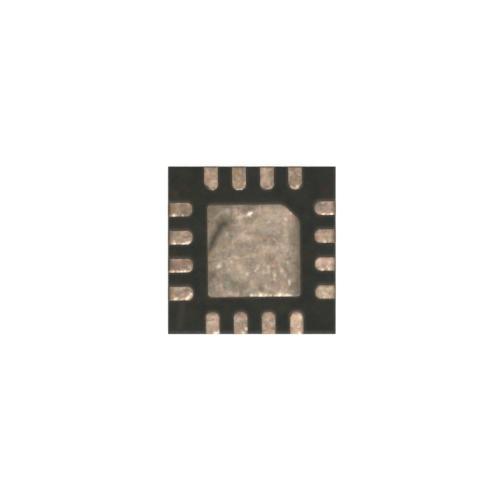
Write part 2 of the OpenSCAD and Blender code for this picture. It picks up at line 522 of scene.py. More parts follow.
TIP_REACH = 0.20
TIP_HALF_WIDTH = 0.122
TIP_UNEVENNESS = 0.10
TIP_WAVES = 22
TIP_SPAN = (0.95, 1.22)
TIP_FADE = 0.085
BITTEN_TIP = "terminal_13"
TERMINAL_SEEDS = range(10, 58, 3)
FILM_THICKNESS = STANDOFF * 0.5
SHINE_SPAN = (0.01, 0.05)
TERMINAL_FLECKS = 0.70
TERMINAL_BLUSH = 0.33
BLUSH_UNEVENNESS = 0.9
BLUSH_WAVES = 8

# What sets the terminals apart: how bright the plating is, how far the rims lean, how strong the
# painted shade is on the very edge of a lit rim and on the round end, and how much resin rounds the tip
TERMINAL_LOOKS = {
    "terminal_01": (0.85, 0.75, 0.00, 0.60, 0.6),
    "terminal_02": (0.96, 0.40, 0.85, 0.52, 0.0),
    "terminal_03": (1.50, 0.16, 1.00, 0.25, 0.0),
    "terminal_04": (1.38, 0.05, 1.00, 0.40, 0.0),
    "terminal_05": (1.42, 1.00, 0.00, 0.55, 0.7),
    "terminal_06": (1.00, 1.00, 0.00, 0.15, 0.0),
    "terminal_07": (0.94, 1.00, 0.00, 0.42, 0.0),
    "terminal_08": (1.02, 1.00, 0.00, 0.66, 0.0),
    "terminal_09": (0.86, 0.74, 0.75, 0.45, 0.0),
    "terminal_10": (0.49, 0.90, 0.30, 0.40, 0.0),
    "terminal_11": (0.82, 0.68, 0.55, 0.55, 0.0),
    "terminal_12": (0.62, 0.22, 0.95, 0.62, 0.0),
    "terminal_13": (0.98, 0.60, 0.00, 0.62, 0.0),
    "terminal_14": (0.70, 0.35, 0.00, 0.45, 0.0),
    "terminal_15": (0.87, 1.00, 0.00, 0.70, 0.0),
    "terminal_16": (0.69, 1.00, 0.00, 0.42, 0.8)}

# Painted highlights (glints) on the rims of the terminals: pixel of the photograph, radius, strength
RIM_GLINTS = (
    (173.6, 215, 0.046, 0.9), (182.2, 214.6, 0.026, 0.7), (173.9, 243, 0.042, 0.7),
    (182.6, 243.8, 0.044, 0.7), (187.2, 242.8, 0.052, 0.8), (172.4, 271.4, 0.032, 0.5),
    (177.5, 271, 0.034, 0.5), (181, 270.8, 0.038, 0.6), (185, 270.4, 0.042, 0.7),
    (189.6, 266.6, 0.034, 0.4), (175.5, 298.6, 0.05, 0.6), (186.2, 297.8, 0.038, 0.8),
    (188.4, 296.2, 0.04, 0.9), (190.4, 293.8, 0.038, 0.8), (324, 214, 0.028, 0.7),
    (327.5, 214.6, 0.028, 0.7), (331.2, 213.7, 0.04, 0.8), (324.2, 241.4, 0.04, 0.6),
    (321.8, 268.9, 0.032, 0.6), (328.4, 268.6, 0.032, 0.7), (325, 296.7, 0.04, 0.2),
    (236.4, 189.6, 0.03, 0.7), (241.6, 189.4, 0.03, 0.7), (296.6, 185.6, 0.036, 0.6),
    (245.8, 328, 0.036, 0.5), (290.8, 187, 0.036, 0.4), (215, 332.4, 0.046, 0.8),
    (217.8, 331.8, 0.04, 0.8), (246, 329, 0.032, 0.5), (242.5, 332.3, 0.045, 0.6),
    (298.7, 332.2, 0.036, 0.5))

# Shades on the terminals, by the mark that they add to: pixel, radius, strength
TERMINAL_SHADES = {
    "blush": (
        (182.4, 232.2, 0.055, 0.9), (177, 206.5, 0.06, 0.5), (175, 259.5, 0.09, 0.6),
        (176.5, 288.5, 0.08, 0.6), (216.4, 317, 0.05, 0.9), (322.5, 261, 0.13, 0.9),
        (328, 262.5, 0.07, 0.6), (204.9, 180, 0.06, 0.6), (209.5, 187, 0.05, 0.5)),
    "green": (
        (172.5, 231.5, 0.09, 0.6), (183.5, 262.5, 0.07, 0.7), (186, 290, 0.07, 1),
        (237.5, 313.5, 0.13, 1), (238.5, 325, 0.09, 0.8), (258.5, 315.5, 0.12, 0.7),
        (289, 329, 0.07, 0.6), (332.5, 210, 0.07, 0.5), (318, 206, 0.1, 0.5), (209, 316.5, 0.06, 0.5),
        (261.5, 327, 0.07, 0.6), (292.5, 179, 0.09, 0.5), (184, 208, 0.09, 0.6), (331, 294, 0.08, 0.6)),
    "brown": (
        (270.6, 171, 0.045, 0.8), (271, 175, 0.045, 0.9), (271.2, 179.5, 0.045, 0.9),
        (271.2, 184, 0.045, 0.8), (322.8, 265.8, 0.065, 0.9), (320.5, 232, 0.06, 0.6),
        (183.5, 212, 0.06, 0.7), (242, 182, 0.05, 0.4)),
    "pale": (
        (264, 171, 0.08, 0.6), (264.5, 178, 0.07, 0.5), (238.5, 319, 0.08, 0.6),
        (212, 323.5, 0.09, 0.5), (329, 203, 0.06, 0.5), (266, 319, 0.05, 0.6),
        (315.2, 262.5, 0.055, 0.6), (315.6, 207.5, 0.05, 0.4), (294.5, 321, 0.1, 0.4),
        (176.5, 284.5, 0.09, 0.5), (184.5, 285, 0.05, 0.4), (172.5, 241, 0.06, 0.5))}


def terminal_axes(node, points, top):
    """Distance of each point from the terminal's round end, along it, and from its middle line."""
    centre = MOUNTS[node + "_face"]
    outward = FRAME_X if abs(centre[0]) > abs(centre[1]) else FRAME_Y
    outward = np.array(outward) * np.sign(centre @ outward)
    along = (points - centre) @ outward
    beside = np.abs((points - centre) @ np.array([-outward[1], outward[0], 0]))
    return along - along[top > 0].min(), beside


def resin_film(points, along, beside, resin, seed):
    """Share of each point that resin hides where it rounds the tip, from 0 to 1."""
    reach = np.clip(1 - along / TIP_REACH, 0, 1)
    ellipse = reach ** 2 + (beside / TIP_HALF_WIDTH) ** 2
    ellipse += TIP_UNEVENNESS * grain(points, TIP_WAVES, seed)
    return resin * smooth_step(ellipse, *TIP_SPAN)


def make_terminal(node, seed, material):
    shine, lean, line, tip, resin = TERMINAL_LOOKS[node]
    bm, rims = metal_mesh(node, TERMINAL_STEP)
    points = points_of(bm)
    marks = metal_marks(points, rims, seed)
    along, beside = terminal_axes(node, points, marks["top"])
    film = resin_film(points, along, beside, resin, seed)
    if node == BITTEN_TIP:
        film = np.maximum(film, bite(points))
    marks["film"] = film * marks["top"]
    marks["shine"] = between(1, shine, smooth_step(marks["rim"], *SHINE_SPAN))
    marks["fine"] = np.full(len(points), TERMINAL_FLECKS)
    marks["warm"] = TERMINAL_BLUSH * (1 + BLUSH_UNEVENNESS * grain(points, BLUSH_WAVES, seed + 6))
    # Painted highlights on the rims
    marks["glint"] = spots(points, RIM_GLINTS, seed + 5)
    for mark, places in TERMINAL_SHADES.items():
        marks[mark] = spots(points, places, seed + 7)
    # Painted shade on the round end and on the edge of the lit rim, left off under painted highlights
    end = tip * marks["top"] * (1 - smooth_step(along, 0, TIP_FADE))
    painted_shade = np.maximum(painted_lit_edge_shade(marks, line), end)
    marks["painted_shade"] = np.maximum(marks["painted_shade"], painted_shade) * (1 - marks["glint"])
    relief = plating(points, seed, PLATING_GRAIN) + marks["film"] * FILM_THICKNESS
    roll_rims(points, marks, relief, seed, lean)
    roughen_ends(points, marks)
    put_points(bm, points)
    return make_piece(bm, "plated_" + node, node, material, marks)


# Pad: a round impression with a dark crescent on its upper left, partly painted shade, a painted bright
# streak, and dents with painted highlights

PAD_SEED = 4
IMPRESSION_MIDDLE = from_photo(249.1, 253.6)
IMPRESSION_RADIUS = 0.74
IMPRESSION_DEPTH = 0.0024
IMPRESSION_WALL = 0.090
IMPRESSION_WAVER = 0.020
IMPRESSION_WAVES = 9
CRESCENT_DEPTH = 0.005
DENT_DEPTH = 0.0012

# Arcs of painted highlight round the impression: radius, angle and half span in degrees, width inside
# and outside
STREAK = (0.690, 100, 13, 0.028, 0.024)
STREAK_GLINT = 0.30
OUTER_ARC = (0.900, 127, 13, 0.026, 0.026)
OUTER_GLINT = 0.10
ARC_END = 0.35
ARC_WAVER = 0.010

# The dark crescent on the impression's upper left, a stain together with painted shade of a slope that
# faces away from the lamp, from its wide head down: strokes as below
CRESCENT = (
    (228.4, 220.8, 216.6, 228, 0.07, 0.95), (223.2, 222.4, 215, 232.6, 0.11, 1),
    (220, 226, 212.8, 238.2, 0.098, 1), (217.2, 231, 210.8, 243.2, 0.08, 1),
    (214.4, 236, 208.8, 248.4, 0.066, 1), (211.6, 241.5, 207.2, 253, 0.052, 0.85))

# The stretch of the pad's lower rim, along X, from which it leans enough to shine
SHINE_START = from_photo(247.0, 0)[0]
SHINE_FULL = from_photo(253.0, 0)[0]
SHINE_REACH = 0.09
SHINE_WAVER = 0.01
SHINE_WAVES = 30
FULL_LEAN = 0.50
CALM_LEAN = 0.12
PAD_LINE = 0.90
PAD_SHINE = 0.97
PAD_FLECKS = 0.30

# Places on the pad, where painted highlights lie over small dents and along the lower rim: pixel of the
# photograph, radius in millimetres, strength
PAD_GLINTS = (
    (249, 213.5, 0.045, 1), (251, 212.6, 0.036, 1), (218.4, 265.8, 0.06, 0.6),
    (267.6, 266.3, 0.04, 0.4), (274.3, 274.6, 0.038, 0.6), (273.7, 279, 0.032, 0.5),
    (288.5, 281, 0.036, 0.45), (288.7, 283.6, 0.03, 0.4), (281.4, 270, 0.036, 0.45),
    (257.2, 268, 0.034, 0.45), (255, 270.4, 0.034, 0.35), (262.8, 272.5, 0.045, 0.15),
    (246.8, 273.6, 0.04, 0.4), (231, 261.5, 0.04, 0.35), (285, 218.3, 0.036, 0.45),
    (290.4, 212.4, 0.036, 0.45), (227, 210.6, 0.06, 0.3), (268.2, 221.7, 0.04, 0.35),
    (226.4, 235, 0.06, 0.25))
EDGE_GLINTS = (
    (251.6, 295.2, 0.045, 0.9), (255.4, 295, 0.034, 0.5), (260.4, 294.7, 0.058, 1),
    (265.6, 294.6, 0.04, 0.7), (270.2, 295, 0.03, 0.5), (275, 295, 0.034, 0.5),
    (279.3, 294.5, 0.062, 1), (286.6, 294.8, 0.05, 0.8), (290, 295, 0.03, 0.5))

# Shades on the pad, by the mark that they add to, given like the places above
PAD_SHADES = {
    "brown": (
        (243.4, 208.6, 0.125, 1), (249.6, 208.6, 0.09, 0.9), (269, 259, 0.13, 0.8),
        (261, 289.5, 0.1, 1), (295, 284, 0.18, 0.8), (219.5, 213, 0.33, 0.8), (269.5, 240, 0.14, 0.6),
        (253, 262, 0.11, 0.5), (262, 280, 0.16, 0.5), (229.5, 229, 0.11, 0.6), (248, 221.5, 0.08, 0.6),
        (214.5, 209, 0.2, 0.9), (226, 216, 0.2, 0.7)),
    "green": (
        (223.2, 267.5, 0.1, 1), (212.2, 271.8, 0.13, 1), (234, 285, 0.23, 1), (225.5, 277, 0.14, 0.8),
        (252.8, 217, 0.09, 0.8), (230, 235.2, 0.11, 1), (270.5, 282, 0.14, 0.7), (292, 234, 0.14, 0.6),
        (230.5, 211, 0.11, 0.6), (282, 265, 0.1, 0.6), (225, 223.8, 0.12, 1), (287, 272, 0.08, 0.7)),
    "blush": (
        (235.6, 211.6, 0.11, 1), (287.5, 215.5, 0.15, 0.8), (292.5, 219.5, 0.08, 0.8),
        (259, 208.8, 0.085, 0.7), (222.5, 292.5, 0.11, 0.6), (232, 294, 0.06, 0.8),
        (211, 266.5, 0.075, 0.8), (273, 264, 0.11, 0.7), (277, 284, 0.12, 0.6), (284, 284, 0.09, 0.6),
        (213, 229, 0.14, 0.4), (246, 234.5, 0.16, 0.5))}

# Strokes on the pad, by mark: both ends as pixels of the photograph, half width, strength
PAD_STROKES = {
    "dark": (
        (208.5, 281, 214, 272.5, 0.04, 0.9), (214, 272.5, 222.5, 263.5, 0.03, 0.7),
        (208.5, 263, 218, 259.5, 0.026, 0.5), (284, 262, 286.8, 273, 0.026, 0.7),
        (286.8, 273, 286.5, 285, 0.024, 0.7), (268.5, 285.5, 276, 277.5, 0.04, 0.7),
        (271, 268, 270, 279, 0.03, 0.5), (243, 232.4, 255, 232.6, 0.026, 0.6),
        (257, 283, 263, 290, 0.04, 0.7), (246, 221, 249, 219.5, 0.028, 0.6),
        (226, 276, 243, 287.5, 0.05, 0.6), (262, 262, 259, 276, 0.03, 0.5),
        (230, 203.5, 232, 222, 0.026, 0.4), (277, 232, 279, 246, 0.03, 0.4),
        (289.2, 222, 289.8, 246, 0.036, 0.4), (293.5, 226, 294, 262, 0.04, 0.3),
        (280.4, 214, 281, 238, 0.022, 0.4), (273.6, 208, 273, 232, 0.02, 0.3),
        (276.5, 262, 278, 292, 0.024, 0.4), (265, 262, 264, 282, 0.02, 0.3)),
    "pale": (
        (252, 272.5, 259.5, 265.5, 0.022, 0.5), (236, 236, 252, 237.5, 0.07, 0.4),
        (250, 225.5, 259, 223, 0.05, 0.5), (240, 262, 243, 278, 0.08, 0.6),
        (250, 278, 252, 290, 0.04, 0.3), (281.5, 268.5, 285.5, 279, 0.026, 0.3),
        (265, 216, 284, 222, 0.08, 0.4), (289.5, 262, 291, 272, 0.04, 0.3),
        (274.5, 272.5, 276.5, 281.5, 0.03, 0.3), (263, 286, 275, 288.5, 0.04, 0.4),
        (215, 233.5, 213.5, 222, 0.03, 0.3), (244, 227.5, 292, 227, 0.11, 0.35),
        (256, 262, 264, 284, 0.09, 0.35), (284.6, 224, 285, 247, 0.045, 0.35),
        (277, 206, 277.5, 226, 0.03, 0.4), (270.5, 206, 270.2, 222, 0.03, 0.35),
        (292.5, 262, 293, 280, 0.03, 0.3), (268.5, 268, 269.5, 288, 0.03, 0.3),
        (262, 206, 284, 210, 0.08, 0.3))}


def arc_mark(points, arc, seed):
    """1 along the middle of an arc round the impression, fading to its ends and sides."""
    middle_radius, middle_angle, half_span, width_in, width_out = arc
    flat = points[:, :2] - IMPRESSION_MIDDLE
    away = np.linalg.norm(flat, axis=1) - middle_radius
    away += ARC_WAVER * grain(points, IMPRESSION_WAVES, seed)
    turn = np.degrees(np.arctan2(flat[:, 1], flat[:, 0])) - middle_angle
    along = np.clip(1 - (turn / half_span) ** 2, 0, 1)
    width = np.where(away < 0, width_in, width_out) * between(ARC_END, 1, along)
    return np.sqrt(along) * np.exp(-(away / width) ** 2)


def pad_lean(points, rim):
    """How much of its full lean each point's rim has: little on the left part of the lower rim."""
    along = points[:, 0] + SHINE_WAVER * grain(points, SHINE_WAVES, 7)
    shine = smooth_step(along, SHINE_START, SHINE_FULL)
    lower = 1 - smooth_step(points[:, 1] - rim[..., 1].min(), 0, SHINE_REACH)
    return FULL_LEAN * between(1, CALM_LEAN, lower * (1 - shine))


def make_pad(material):
    bm, rims = metal_mesh("die_pad", PAD_STEP)
    points = points_of(bm)
    marks = metal_marks(points, rims, PAD_SEED)
    radius = np.linalg.norm(points[:, :2] - IMPRESSION_MIDDLE, axis=1)
    radius -= IMPRESSION_WAVER * grain(points, IMPRESSION_WAVES, 31)
    inside = smooth_step(IMPRESSION_RADIUS - radius, 0, IMPRESSION_WALL)
    crescent = strokes(points, CRESCENT, 32)
    arcs = STREAK_GLINT * arc_mark(points, STREAK, 33)
    arcs += OUTER_GLINT * arc_mark(points, OUTER_ARC, 34)
    dents = spots(points, PAD_GLINTS, 35)
    edge = spots(points, EDGE_GLINTS, 36) * smooth_step(marks["rim"], 0, RIM_LINE)
    for seed, (mark, places) in enumerate(PAD_SHADES.items(), 37):
        marks[mark] = spots(points, places, seed)
    for number, (mark, places) in enumerate(PAD_STROKES.items()):
        marks[mark] = strokes(points, places, 41 + 2 * number)
    # The crescent's darkening: partly a stain, partly painted shade
    marks["stain"] = crescent
    marks["shine"] = np.full(len(points), PAD_SHINE)
    marks["fine"] = np.full(len(points), PAD_FLECKS)
    # Painted highlights: the streak, the outer arc, the dents and the lower rim
    marks["glint"] = np.clip(arcs + dents + edge, 0, 1)
    # Painted shade towards the pad's left, top and right sides and along the edge of its lit rim
    fade = side_fade(points, rims[0].min(axis=(0, 1)), rims[0].max(axis=(0, 1)), PAD_FADES)
    fade = np.maximum(fade * marks["top"], painted_lit_edge_shade(marks, PAD_LINE))
    marks["painted_shade"] = np.maximum(marks["painted_shade"], fade) * (1 - marks["glint"])
    relief = plating(points, PAD_SEED, PAD_GRAIN) + inside * IMPRESSION_DEPTH
    relief += crescent * CRESCENT_DEPTH + dents * DENT_DEPTH
    roll_rims(points, marks, relief, PAD_SEED, pad_lean(points, rims[0]))
    roughen_ends(points, marks)
    put_points(bm, points)
    return make_piece(bm, "plated_pad", "die_pad", material, marks)


# Materials

def tone(red, green, blue):
    """A colour given by display values from 0 to 255, as the linear values that a shader takes."""
    return (*(((c / 255 + 0.055) / 1.055) ** 2.4 for c in (red, green, blue)), 1.0)


class Shader:
    """The nodes of a material or of the world, with places in millimetres."""

    def __init__(self, owner):
        owner.use_nodes = True
        self.owner = owner
        self.nodes = owner.node_tree.nodes
        self.links = owner.node_tree.links

    @cached_property
    def place(self):
        return self.scaled(self.node("TexCoord", "Object", {}), 1 / MM)

    def put(self, socket, value):
        """Links an output to the socket, or sets a plain value on it."""
        if isinstance(value, bpy.types.NodeSocket):
            self.links.new(value, socket)
        else:
            socket.default_value = value

    def node(self, kind, output, inputs, **settings):
        """An output of a new node. Inputs and the output go by name or number."""
        node = self.nodes.new("ShaderNode" + kind)
        for setting, value in settings.items():
            setattr(node, setting, value)
        for name, value in inputs.items():
            self.put(node.inputs[name], value)
        return node.outputs[output]

    def scaled(self, vector, factor):
        factors = factor if isinstance(factor, tuple) else (factor,) * 3
        return self.node("VectorMath", "Vector", {0: vector, 1: factors}, operation="MULTIPLY")

    def turned(self, vector, degrees):
        """The vector turned about Z."""
        inputs = {"Vector": vector, "Angle": math.radians(degrees)}
        return self.node("VectorRotate", "Vector", inputs, rotation_type="Z_AXIS")

    def noise(self, per_mm, detail=2.0, roughness=0.5, distortion=0.0, place=None):
        inputs = {"Scale": per_mm, "Detail": detail, "Roughness": roughness, "Distortion": distortion}
        return self.node("TexNoise", "Fac", {**inputs, "Vector": place or self.place})

    def cells(self, per_mm, place=None):
        return self.node("TexVoronoi", "Distance", {"Scale": per_mm, "Vector": place or self.place})

    def mark(self, name):
        return self.node("Attribute", "Fac", {}, attribute_name=name)

    def math(self, operation, a, b=0.0):
        return self.node("Math", 0, {0: a, 1: b}, operation=operation)

    def ramp(self, value, low, high, start=0.0, end=1.0):
        """The value from low to high, eased to run from start to end."""
        inputs = {"Value": value, "From Min": low, "From Max": high, "To Min": start, "To Max": end}
        return self.node("MapRange", "Result", inputs, interpolation_type="SMOOTHSTEP")

    def swing(self, value, start=0.0, end=1.0):
        """A noise, eased to run from start to end over most of its range."""
        return self.ramp(value, 0.3, 0.7, start, end)

    def mix(self, share, a, b):
        """Colour a, with share of colour b over it. The numbers are those of the colour sockets."""
        return self.node("Mix", 2, {0: share, 6: a, 7: b}, data_type="RGBA")

    def over(self, colour, tint, mask, strength=1.0):
        """The colour with a tint over it, as strong as the mask times the strength."""
        return self.mix(self.math("MULTIPLY", mask, strength), colour, tint)

    def tinted(self, colour, layers, share=None):
        """The colour with layers of tint over it, times a share where there is one."""
        for tint, per_mm, detail, distortion, stretch, low, high, strength in layers:
            shape = self.noise(per_mm, detail, 0.5, distortion, self.scaled(self.place, stretch))
            mask = self.ramp(shape, low, high)
            if share is not None:
                mask = self.math("MULTIPLY", mask, share)
            colour = self.over(colour, tint, mask, strength)
        return colour

    def gain(self, colour, factor):
        """The colour made brighter or darker by a factor."""
        return self.node("VectorMath", "Vector", {0: colour, "Scale": factor}, operation="SCALE")

    def axis(self, vector, name):
        return self.node("SeparateXYZ", name, {0: vector})

    def spot(self, place, radius):
        """1 at a place on the solder face, fading to 0 at radius from it."""
        inputs = {0: self.scaled(self.place, (1, 1, 0)), 1: (*place, 0)}
        away = self.node("VectorMath", "Value", inputs, operation="DISTANCE")
        return self.ramp(away, 0, radius, 1, 0)

    def bump(self, height, distance_mm, normal=None):
        inputs = {"Height": height, "Distance": distance_mm * MM}
        if normal is not None:
            inputs["Normal"] = normal
        return self.node("Bump", "Normal", inputs)

    def finish(self, colour, roughness, normal, metallic=0.0, **others):
        """The material, with these looks on its surface."""
        looks = {"Base Color": colour, "Roughness": roughness, "Normal": normal, "Metallic": metallic}
        for name, value in {**looks, **others}.items():
            self.put(self.nodes["Principled BSDF"].inputs[name], value)
        return self.owner


SAW_STRETCH = (1.0, 1.0, 26.0)
# Widths of the painted light along the front, right and left sides of the moulded face
FRONT_STRIP = 0.095
RIGHT_STRIP = 0.060
LEFT_STRIP = 0.050

# Layers of tint: the tint, a noise as waves in a millimetre, detail, distortion and stretch,
# where on it the tint begins and where it is full, and its strength
MOULD_TINTS = (
    (tone(33, 45, 38), 5, 2, 0, (1, 1, 3), 0.46, 0.70, 0.50),
    (tone(51, 43, 39), 6, 2, 0, (1, -1, 3), 0.50, 0.72, 0.45),
    (tone(48, 47, 30), 4, 2, 0, (-1, 1, 3), 0.48, 0.70, 0.45))

# Faint stains on the moulding: pixels of the photograph, a radius in millimetres and a tone
MOULD_STAINS = (
    ((181.5, 306), 0.12, tone(67, 58, 49)), ((181, 313), 0.12, tone(67, 58, 49)),
    ((180, 320), 0.12, tone(65, 57, 49)), ((179, 326), 0.1, tone(63, 57, 50)),
    ((174, 193), 0.12, tone(65, 56, 43)), ((178, 197.5), 0.08, tone(35, 56, 35)),
    ((325, 190), 0.16, tone(61, 44, 41)), ((183, 186), 0.14, tone(57, 43, 39)),
    ((202, 228), 0.12, tone(57, 43, 39)), ((282, 308), 0.14, tone(52, 56, 35)),
    ((306, 216), 0.12, tone(35, 52, 46)))


def solder_side(s):
    """1 on the moulded face that the terminals lie in and on its arrises, 0 below them."""
    return s.ramp(s.axis(s.place, "Z"), MOULD_Z - ARRIS_CUTS[-1], MOULD_Z - ARRIS_RADIUS)


def mould_colour(s, side):
    """Black epoxy in slightly different blacks, with faint tints and stains."""
    colour = s.mix(s.swing(s.noise(2.4, 4, 0.6)), tone(34, 35, 28), tone(43, 43, 38))
    colour = s.tinted(colour, MOULD_TINTS)
    for pixel, radius, tint in MOULD_STAINS:
        stain = s.math("MULTIPLY", s.spot(from_photo(*pixel), radius), solder_side(s))
        colour = s.over(colour, tint, stain, 0.6)
    return s.over(colour, tone(66, 67, 60), side, 0.45)


def painted_light_strips(s):
    """Painted light: the moulded face made paler along its front, right and left sides, most on the
    front, which faces the lamp.
    """
    x, y = s.axis(s.place, "X"), s.axis(s.place, "Y")
    front = s.ramp(y, BODY_LOW[1], BODY_LOW[1] + FRONT_STRIP, 1, 0)
    right = s.ramp(x, BODY_HIGH[0] - RIGHT_STRIP, BODY_HIGH[0], 0, 0.75)
    left = s.ramp(x, BODY_LOW[0], BODY_LOW[0] + LEFT_STRIP, 0.50, 0)
    strips = s.math("MAXIMUM", front, s.math("MAXIMUM", left, right))
    strips = s.math("MULTIPLY", strips, solder_side(s))
    return s.math("MULTIPLY", strips, s.ramp(s.noise(24, 3), 0.25, 0.75, 0.55, 1))


def mould_material():
    """Black epoxy full of fine filler, matt as moulded and greyer where it was sawn."""
    s = Shader(bpy.data.materials.new("mould_compound"))
    arris, side = s.mark("arris"), s.ramp(s.mark("side"), 0.75, 0.9)
    colour = mould_colour(s, side)
    filler = s.ramp(s.cells(48), 0.05, 0.30, 1, 0)
    shown = s.math("MULTIPLY", s.ramp(s.noise(17, 2), 0.42, 0.62), filler)
    colour = s.over(colour, tone(116, 114, 104), shown, s.ramp(side, 0, 1, 0.14, 0.45))
    lines = s.noise(1.6, 4, 0.6, place=s.scaled(s.place, SAW_STRETCH))
    dragged = s.math("MULTIPLY", s.ramp(lines, 0.48, 0.62), side)
    colour = s.over(colour, tone(80, 79, 72), dragged, 0.45)
    hollow = s.math("MULTIPLY", s.ramp(lines, 0.46, 0.34), side)
    colour = s.over(colour, tone(34, 34, 31), hollow, 0.4)
    # Painted light along the front, right and left sides, strongest towards the lamp
    colour = s.over(colour, tone(84, 86, 80), painted_light_strips(s), 0.78)
    # Painted highlight along the arrises
    colour = s.over(colour, tone(82, 82, 76), s.ramp(arris, 0.0, 0.025, 1, 0), 0.45)
    # Painted glow round the metal, softening its edges and lightening the shadow of its step
    colour = s.over(colour, tone(130, 120, 107), s.mark("painted_glow"), 1.0)
    roughness = s.swing(s.noise(35, 3), 0.62, 0.80)
    height = s.math("ADD", s.noise(38, 4, 0.6), s.math("MULTIPLY", filler, 0.35))
    normal = s.bump(s.math("MULTIPLY", lines, side), 0.006, s.bump(height, 0.0030))
    return s.finish(colour, roughness, normal, **{"Specular IOR Level": 0.22})


GRAIN_LEAN = 18
GRAIN_STRETCH = (1.0, 0.38, 1.0)
PLATING_THICKNESS = 0.012

# Blotches and small flecks on the tin, as layers of tint
TIN_TINTS = (
    (tone(132, 139, 118), 6, 3, 0.4, (1, 1.3, 1), 0.46, 0.68, 0.46),
    (tone(186, 145, 134), 8, 2, 0.3, (1.2, 1, -1), 0.48, 0.68, 0.46),
    (tone(168, 150, 110), 7, 2, 0.3, (-1, 1, 1), 0.48, 0.68, 0.44),
    (tone(150, 137, 132), 7, 2, 0.3, (-1, -1, 1), 0.50, 0.70, 0.45))
TIN_FLECKS = (
    (tone(104, 92, 78), 14, 2, 0.3, (1, 1, 2), 0.50, 0.66, 0.80),
    (tone(226, 208, 186), 12, 2, 0.3, (1, -1, 2), 0.50, 0.66, 0.65),
    (tone(194, 146, 134), 10, 2, 0.3, (1.2, 1, -2), 0.50, 0.66, 0.70),
    (tone(170, 154, 110), 9, 2, 0.3, (-1, 1, 2), 0.50, 0.66, 0.65),
    (tone(128, 136, 116), 9, 2, 0.3, (1, 1.3, 2), 0.50, 0.66, 0.65),
    (tone(148, 135, 132), 11, 2, 0.3, (-1, -1, 2), 0.50, 0.66, 0.60))

# Marks on the tin, in the order in which they lie over each other: a tint and its strength. The stain
# darkens the crescent partly as painted shade, the darkening of rims and sides is painted shade, and
# the glints are painted highlights
TIN_MARKS = {
    "warm": (tone(198, 152, 126), 0.50),
    "blush": (tone(204, 162, 148), 0.50),
    "brown": (tone(104, 90, 74), 0.50),
    "green": (tone(100, 104, 90), 0.45),
    "dark": (tone(92, 84, 70), 0.60),
    "pale": (tone(214, 195, 170), 0.60),
    "stain": (tone(60, 62, 53), 0.88),
    "painted_shade": (tone(84, 75, 64), 0.92),
    "glint": (tone(255, 240, 216), 0.85)}


def tin_colour(s):
    """Matt tin in warm greys, mottled with pink and grey-green, as broad blotches and flecks."""
    broad = s.noise(3.4, 2, 0.5, 0.3)
    blotches = s.noise(7, 3, 0.5, 0.5)
    streaks = s.noise(11, 2, 0.5, 0.3, s.scaled(s.turned(s.place, GRAIN_LEAN), GRAIN_STRETCH))
    colour = s.mix(s.ramp(broad, 0.32, 0.68), tone(140, 125, 110), tone(176, 158, 139))
    colour = s.over(colour, tone(110, 98, 85), s.ramp(blotches, 0.48, 0.28), 0.65)
    colour = s.over(colour, tone(206, 187, 165), s.ramp(blotches, 0.52, 0.72), 0.70)
    colour = s.over(colour, tone(118, 105, 91), s.ramp(streaks, 0.46, 0.30), 0.45)
    colour = s.over(colour, tone(206, 188, 166), s.ramp(streaks, 0.56, 0.74), 0.55)
    return s.tinted(s.tinted(colour, TIN_TINTS), TIN_FLECKS, s.mark("fine"))


def tin_marks(s, colour):
    """The tin's colour with its own marks over it: strokes, stains, painted shade on rims and sides,
    and painted highlights.
    """
    colour = s.gain(colour, s.mark("shine"))
    for mark, (tint, strength) in TIN_MARKS.items():
        colour = s.over(colour, tint, s.mark(mark), strength)
    return colour


def tin_material():
    """Matt tin over copper, hidden by resin in places, and bare copper where it was sawn."""
    s = Shader(bpy.data.materials.new("tin_plated_copper"))
    colour = tin_marks(s, tin_colour(s))
    lines = s.noise(3, 4, 0.6, place=s.scaled(s.place, SAW_STRETCH))
    copper = s.mix(s.ramp(lines, 0.35, 0.65), tone(162, 108, 83), tone(202, 146, 115))
    copper_top = SOLDER_Z - PLATING_THICKNESS
    below = s.ramp(s.axis(s.place, "Z"), copper_top, copper_top + PLATING_THICKNESS / 2, 1, 0)
    not_top = s.math("SUBTRACT", 1.0, s.mark("top"))
    bare = s.math("MULTIPLY", s.mark("sawn"), s.math("MULTIPLY", not_top, below))
    bare = s.ramp(bare, 0.3, 0.7)
    colour = s.mix(bare, colour, copper)
    fine = s.noise(24, 3, 0.6)
    covered = s.ramp(s.math("ADD", s.mark("film"), s.math("MULTIPLY", fine, 0.2)), 0.20, 0.95)
    colour = s.mix(covered, colour, tone(54, 54, 46))
    roughness = s.math("ADD", s.swing(fine, 0.36, 0.48), s.math("MULTIPLY", covered, 0.2))
    normal = s.bump(s.math("ADD", fine, s.math("MULTIPLY", s.noise(70, 2), 0.25)), 0.0016)
    normal = s.bump(s.math("MULTIPLY", lines, bare), 0.005, normal)
    return s.finish(colour, roughness, normal, s.ramp(covered, 0, 1, 1, 0))


def silicon_material():
    """Polished silicon with a faint blue-grey pattern of blocks, as a chip's layers show it."""
    s = Shader(bpy.data.materials.new("silicon"))
    blocks = s.ramp(s.cells(9, place=s.scaled(s.place, (1, 1, 0.1))), 0.2, 0.5)
    tracks = s.noise(24, 2, place=s.scaled(s.place, (6, 0.6, 1)))
    colour = s.mix(blocks, tone(92, 98, 112), tone(118, 122, 130))
    colour = s.mix(s.ramp(tracks, 0.5, 0.6, 0, 0.5), colour, tone(150, 146, 132))
    roughness = s.swing(s.noise(12, 3), 0.16, 0.30)
    return s.finish(colour, roughness, s.bump(tracks, 0.0006), s.ramp(blocks, 0, 1, 0.55, 0.7))


def adhesive_material():
    """Grey adhesive thick with silver flakes."""
    s = Shader(bpy.data.materials.new("die_attach_adhesive"))
    flakes = s.cells(60)
    colour = s.mix(s.ramp(flakes, 0.1, 0.5), tone(196, 194, 188), tone(118, 116, 110))
    roughness = s.ramp(flakes, 0.1, 0.6, 0.35, 0.7)
    return s.finish(colour, roughness, s.bump(flakes, 0.004), s.ramp(flakes, 0.1, 0.5, 0.8, 0.2))


